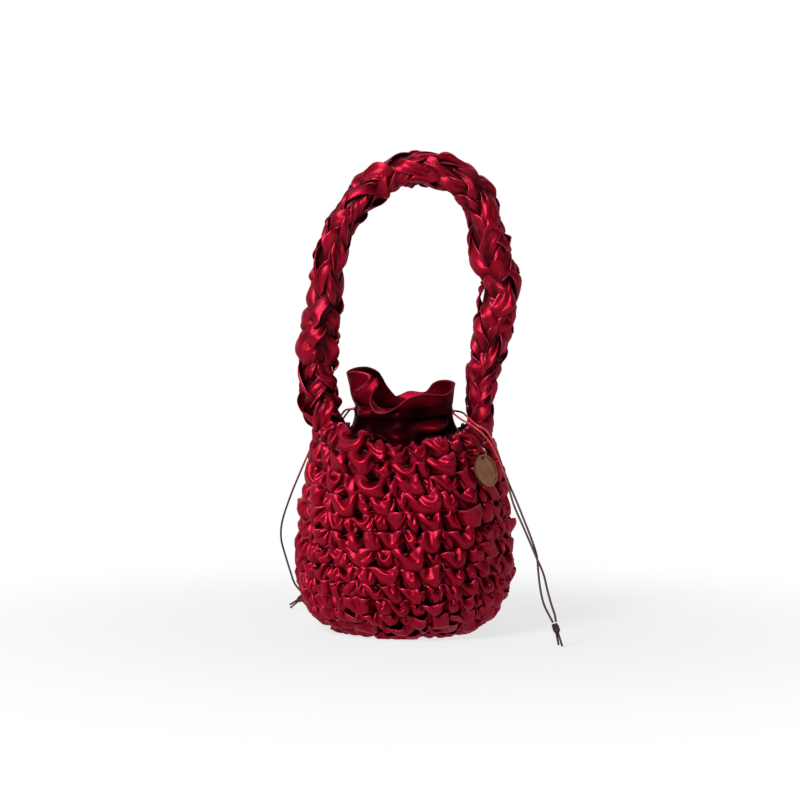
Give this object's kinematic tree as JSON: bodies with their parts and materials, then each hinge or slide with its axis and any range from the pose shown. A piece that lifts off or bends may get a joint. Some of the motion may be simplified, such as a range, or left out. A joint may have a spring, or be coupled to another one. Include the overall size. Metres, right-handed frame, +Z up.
{
  "type": "woven handbag",
  "caption": "Bucket handbag crocheted from glossy satin strip, with an upright arched handle, a drawstring lining with a frilled collar, knotted side cords and a round metal charm.",
  "frame": {"origin": "centre of the flat base, on the surface that the bag stands on", "axes": "+Z up to the handle, +X to the right of the picture, front of the bag facing -Y"},
  "size_m": [0.2144, 0.2043, 0.3675],
  "materials": {
    "crochet_satin": "glossy ruched satin strip, crimson",
    "lining_satin": "smooth satin, dark crimson",
    "cord": "thin braided cord, red",
    "charm_metal": "pale brushed brass"
  },
  "bodies": {
    "bag": {"crochet_body": "crochet_satin", "lining_pouch": "lining_satin", "drawstring_collar": "lining_satin", "casing_front": "lining_satin", "casing_back": "lining_satin", "handle": "crochet_satin", "right_cord_casing_run": "cord", "right_cord_back_strand": "cord", "right_cord_front_strand": "cord", "right_cord_knot": "cord", "left_cord_casing_run": "cord", "left_cord_front_strand": "cord", "left_cord_back_strand": "cord", "left_cord_knot": "cord"},
    "ring": {"charm_ring": "charm_metal"},
    "charm": {"charm_disc": "charm_metal"}
  },
  "joints": [
    {"name": "ring_lift", "type": "hinge", "parent": "bag", "child": "ring", "pos_m": [0.05736, -0.04813, 0.14167], "axis": [-0.6428, -0.766, 0], "range_deg": [0, 60]},
    {"name": "charm_swing", "type": "hinge", "parent": "ring", "child": "charm", "pos_m": [0.05864, -0.0492, 0.13606], "axis": [0.7345, -0.6163, 0.2841], "range_deg": [-15, 15]}
  ]
}
